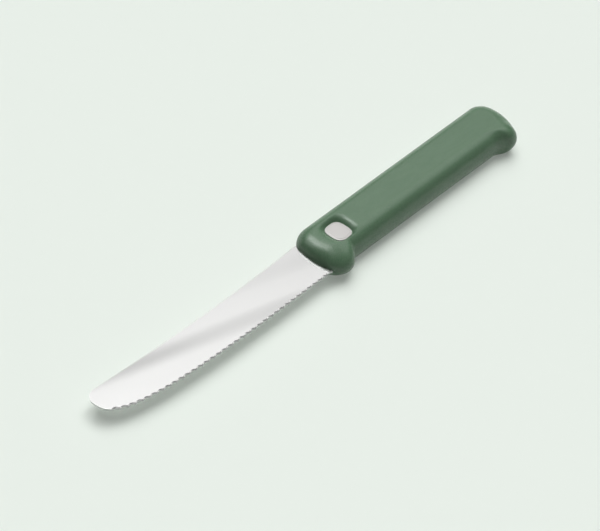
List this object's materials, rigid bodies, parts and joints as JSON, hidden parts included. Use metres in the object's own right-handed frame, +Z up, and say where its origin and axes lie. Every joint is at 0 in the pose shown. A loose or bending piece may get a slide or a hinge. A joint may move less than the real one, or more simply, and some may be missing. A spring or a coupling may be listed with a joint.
{
  "type": "vegetable knife",
  "caption": "Round-nosed vegetable knife with a thin scalloped blade and a moulded handle with finger guard, flared butt and a small dished badge.",
  "frame": {"origin": "middle of the whole knife's footprint, on the surface that the flat of its handle lies on", "axes": "+X from the nose of the blade to the butt of the handle, +Y from the cutting edge to the spine, +Z up, out of the broad face that holds the badge"},
  "size_m": [0.2246, 0.0264, 0.0136],
  "materials": {
    "steel": "finely ground satin, bright in the scallops",
    "handle_plastic": "satin moulded polypropylene, grey green",
    "badge_metal": "satin, thin raised border",
    "adhesive": "matt"
  },
  "bodies": {
    "root": {"handle": "handle_plastic", "blade": "steel", "badge": "badge_metal", "badge_adhesive": "adhesive"}
  },
  "joints": []
}
